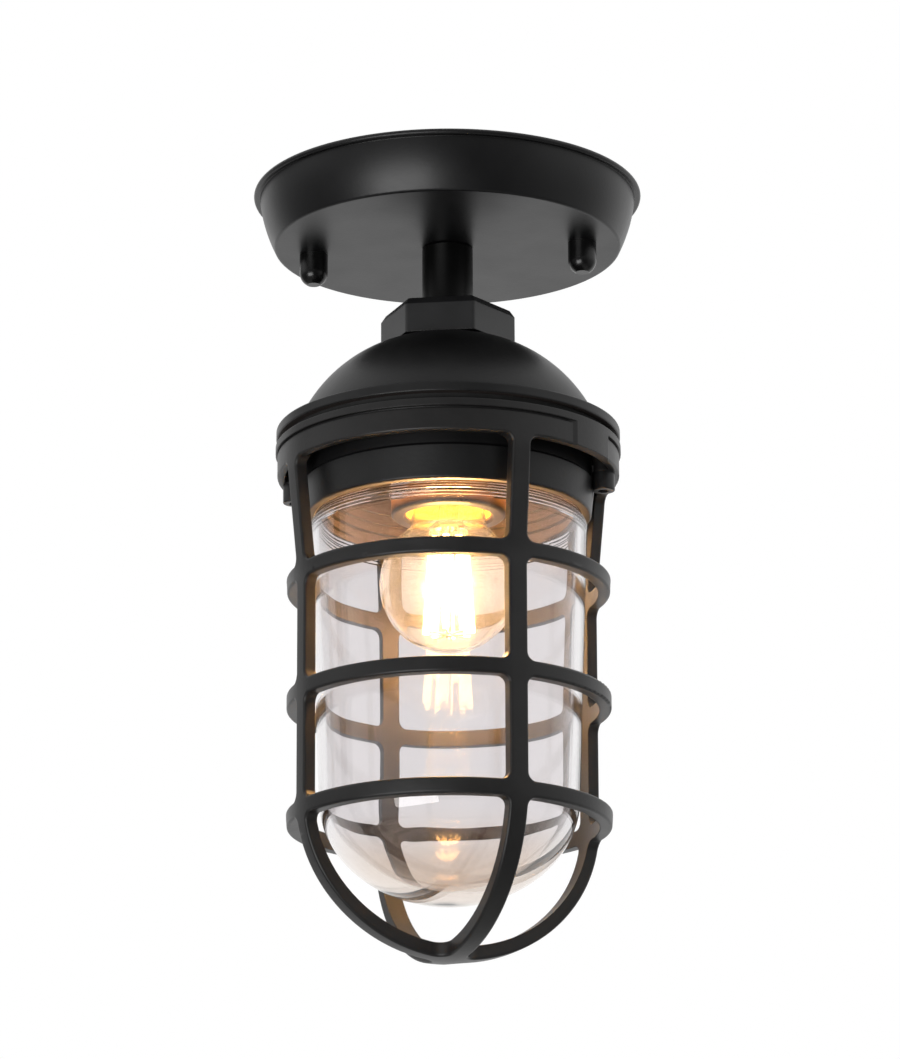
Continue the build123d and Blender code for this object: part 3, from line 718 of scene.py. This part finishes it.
bowl_depth = JAR_WAIST - jar_low.z
bead_end = JAR_SHOULDER_TOP - BEAD_COUNT * BEAD_PITCH
jar_heights = (
    levels(jar_high.z - JAR_RIM_ROUND, JAR_SHOULDER_TOP, NECK_CUTS)
    + levels(JAR_SHOULDER_TOP, bead_end, BEAD_COUNT * BEAD_CUTS)[1:]
    + levels(bead_end, JAR_WAIST, WALL_CUTS)[1:]
)
jar_outside = [(JAR_NECK - JAR_RIM_ROUND, jar_high.z)]
jar_outside += [(jar_radius(z) - bead_draw(z), z) for z in jar_heights]
jar_outside += bowl(JAR_WAIST_RADIUS, bowl_depth, BOWL_OUTSIDE)
inner_heights = [z for z in jar_heights if z < JAR_SHOULDER_TOP or z > jar_high.z - MM]
jar_inside = [(jar_radius(z) - JAR_WALL, z) for z in inner_heights]
jar_inside += bowl(JAR_WAIST_RADIUS - JAR_WALL, bowl_depth - JAR_BASE, BOWL_INSIDE)
jar_coarse = rolled(JAR_THREAD, JAR_PITCH, jar_high.z - THREAD_LEAD, JAR_SHOULDER_TOP, JAR_PITCH)


def jar_thread_outside(angle, height):
    """The coarse thread, on the neck's outside alone."""
    return jar_coarse(angle, height) if height > JAR_SHOULDER_TOP else 0.0


jar = lathe("pressed_jar", jar_outside + list(reversed(jar_inside)), jar_thread_outside, steps=160)
jar_glass = clear_glass("jar_glass", tint=(0.86, 0.838, 0.845), ior=1.5, ripple=38.0, depth=0.4 * MM)
BOWL_TINT = (0.83, 0.735, 0.66)
TINT_START = JAR_WAIST - 11 * MM
TINT_FULL = JAR_WAIST - 27 * MM
shade_in(jar_glass, height_mask(jar_glass, TINT_START, TINT_FULL), BOWL_TINT)
jar.data.materials.append(jar_glass)
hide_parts("glass_jar")
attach(jar, "jar")

# Cage and its screws: one aluminium casting, blasted and powder coated, held up by two
# socket screws through its collar. The coat gathers on its rounded edges.
cage_coat = skinned(
    "cage_coat",
    main=(0.009, 0.0086, 0.0086),
    second=(0.014, 0.0135, 0.0135),
    gloss=0.40,
    spread=0.14,
    patch=60.0,
    grain=800.0,
    depth=0.1 * MM,
    ior=BLACK_IOR,
    edge_round=COAT_ROUND,
)
dress(cage_coat, "cage")
screw_coat = skinned(
    "screw_coat",
    main=(0.01, 0.01, 0.0105),
    second=(0.02, 0.02, 0.021),
    gloss=0.38,
    spread=0.2,
    patch=300.0,
    grain=1500.0,
    depth=0.05 * MM,
    ior=BLACK_IOR,
)
dress(screw_coat, "cage_screws")

# Studio: white surroundings that fall darker on the viewer's side and below, one soft box
# low at the left, and a plain pale floor far below the lamp that fades out to white.
world = bpy.data.worlds.new("studio")
bpy.context.scene.world = world
world.use_nodes = True
sky = world.node_tree
for old in list(sky.nodes):
    sky.nodes.remove(old)
sky_place = add_node(sky, "ShaderNodeTexCoord")
sky_axes = add_node(sky, "ShaderNodeSeparateXYZ", [("Vector", sky_place.outputs["Generated"])])


def sky_ramp(axis, start, stop, low, high):
    """A smooth change of the surroundings' level along one axis, between two directions."""
    ramp = add_node(
        sky,
        "ShaderNodeMapRange",
        [
            ("Value", sky_axes.outputs[axis]),
            ("From Min", start),
            ("From Max", stop),
            ("To Min", low),
            ("To Max", high),
        ],
        interpolation_type="SMOOTHSTEP",
    )
    return ramp.outputs["Result"]


def sky_mix(share, one, other):
    """One level of the surroundings blended into another."""
    return add_node(sky, "ShaderNodeMix", [(0, share), (2, one), (3, other)]).outputs[0]


# A level of 1 is white. The front falls to a third, the left and the low sides to less, and
# what lies steeply below is nearly black.
sky_front = sky_ramp("Z", -0.35, 0.35, 0.04, 0.33)
sky_left_low = sky_ramp("Y", -0.2, 0.35, 0.95, 0.35)
sky_left = sky_mix(sky_ramp("Z", 0.3, 0.65, 0.0, 1.0), sky_left_low, 1.0)
sky_high = sky_mix(sky_ramp("X", -0.6, 0.0, 0.0, 1.0), sky_left, 0.95)
sky_low = sky_ramp("X", -0.6, 0.6, 0.2, 0.48)
sky_sides = sky_mix(sky_ramp("Z", -0.12, 0.25, 0.0, 1.0), sky_low, sky_high)
sky_level = sky_mix(sky_ramp("Y", -0.9, -0.2, 0.0, 1.0), sky_front, sky_sides)
sky_near = sky_mix(sky_ramp("Z", -0.75, -0.3, 0.0, 1.0), 0.04, sky_level)
sky_around = add_node(sky, "ShaderNodeBackground", [("Color", (1, 1, 1, 1)), ("Strength", sky_near)])
sky_plain = add_node(sky, "ShaderNodeBackground", [("Color", (1, 1, 1, 1)), ("Strength", 1.0)])
sky_ray = add_node(sky, "ShaderNodeLightPath")
sky_shine = add_node(
    sky,
    "ShaderNodeMath",
    [(0, sky_ray.outputs["Is Glossy Ray"]), (1, sky_ramp("Y", 0.35, 0.75, 0.0, 1.0))],
    operation="MULTIPLY",
)
sky_clear = add_node(
    sky,
    "ShaderNodeMath",
    [(0, sky_ray.outputs["Is Camera Ray"]), (1, sky_ray.outputs["Is Transmission Ray"])],
    operation="MAXIMUM",
)
sky_seen = add_node(
    sky,
    "ShaderNodeMath",
    [(0, sky_clear.outputs[0]), (1, sky_shine.outputs[0])],
    operation="MAXIMUM",
)
sky_both = add_node(
    sky,
    "ShaderNodeMixShader",
    [(0, sky_seen.outputs[0]), (1, sky_around.outputs[0]), (2, sky_plain.outputs[0])],
)
add_node(sky, "ShaderNodeOutputWorld", [("Surface", sky_both.outputs[0])])

VIEW_TURN = math.radians(7.5)
BOX_REACH = 1.5
BOX_WIDTH = 1.0
BOX_HEIGHT = 0.6
BOX_POWER = 13.0
BOX_AIM = Vector((-0.4635, -0.78, -0.419))
box_aim = Matrix.Rotation(VIEW_TURN, 3, "Z") @ BOX_AIM
soft_box = bpy.data.lights.new("soft_box", "AREA")
soft_box.shape = "RECTANGLE"
soft_box.size = BOX_WIDTH
soft_box.size_y = BOX_HEIGHT
soft_box.energy = BOX_POWER
soft_box_place = bpy.data.objects.new("soft_box", soft_box)
soft_box_place.location = box_aim.normalized() * BOX_REACH
soft_box_place.rotation_euler = box_aim.to_track_quat("Z", "Y").to_euler()
bpy.context.collection.objects.link(soft_box_place)

FLOOR_DROP = 1.8
FLOOR_SPAN = 6.0
FLOOR_FULL = 0.4
FLOOR_SEEN = (0.86, 0.86, 0.85)
floor_mesh = bpy.data.meshes.new("floor")
half = FLOOR_SPAN / 2
floor_corners = [(-half, -half, 0), (half, -half, 0), (half, half, 0), (-half, half, 0)]
floor_mesh.from_pydata(floor_corners, [], [(0, 1, 2, 3)])
floor = bpy.data.objects.new("floor", floor_mesh)
floor.location = (0, 0, -FLOOR_DROP)
bpy.context.collection.objects.link(floor)
pale = skinned(
    "pale_floor",
    main=(0.48, 0.48, 0.47),
    second=(0.52, 0.52, 0.51),
    gloss=0.7,
    spread=0.1,
    patch=0.8,
    grain=40.0,
    depth=0.5 * MM,
)
floor_ray = add_node(pale.node_tree, "ShaderNodeLightPath")
floor_seen = add_node(
    pale.node_tree,
    "ShaderNodeMath",
    [(0, floor_ray.outputs["Is Camera Ray"]), (1, floor_ray.outputs["Is Transmission Ray"])],
    operation="MAXIMUM",
)
shade_in(pale, floor_seen.outputs[0], FLOOR_SEEN)
floor_spot = add_node(pale.node_tree, "ShaderNodeTexCoord")
floor_reach = add_node(
    pale.node_tree,
    "ShaderNodeVectorMath",
    [(0, floor_spot.outputs["Object"])],
    operation="LENGTH",
)
floor_fade = add_node(
    pale.node_tree,
    "ShaderNodeMapRange",
    [
        ("Value", floor_reach.outputs["Value"]),
        ("From Min", FLOOR_FULL),
        ("From Max", half),
        ("To Min", 1.0),
        ("To Max", 0.0),
    ],
    interpolation_type="SMOOTHSTEP",
)
floor_shader = pale.node_tree.nodes["Principled BSDF"]
pale.node_tree.links.new(floor_fade.outputs["Result"], floor_shader.inputs["Alpha"])
floor.data.materials.append(pale)

# Camera: a long lens at the photograph's angle, from below and a little to the right,
# with the lamp in the middle of a 900 by 1059 frame.
VIEW_PLACE = Vector((0.2106, -1.5995, -0.5865))
VIEW_TILT = math.pi / 2 + 0.28332
VIEW_ROLL = -0.00356
VIEW_LENS = 173.0
shot = bpy.data.cameras.new("view")
shot.sensor_width = 36.0
shot.lens = VIEW_LENS
shot.shift_x = 0.00138
shot.clip_end = 20.0
viewer = bpy.data.objects.new("view", shot)
viewer.matrix_world = (
    Matrix.Translation(VIEW_PLACE)
    @ Matrix.Rotation(VIEW_TURN, 4, "Z")
    @ Matrix.Rotation(VIEW_TILT, 4, "X")
    @ Matrix.Rotation(VIEW_ROLL, 4, "Z")
)
bpy.context.collection.objects.link(viewer)
bpy.context.scene.camera = viewer
bpy.context.scene.view_settings.view_transform = "Standard"
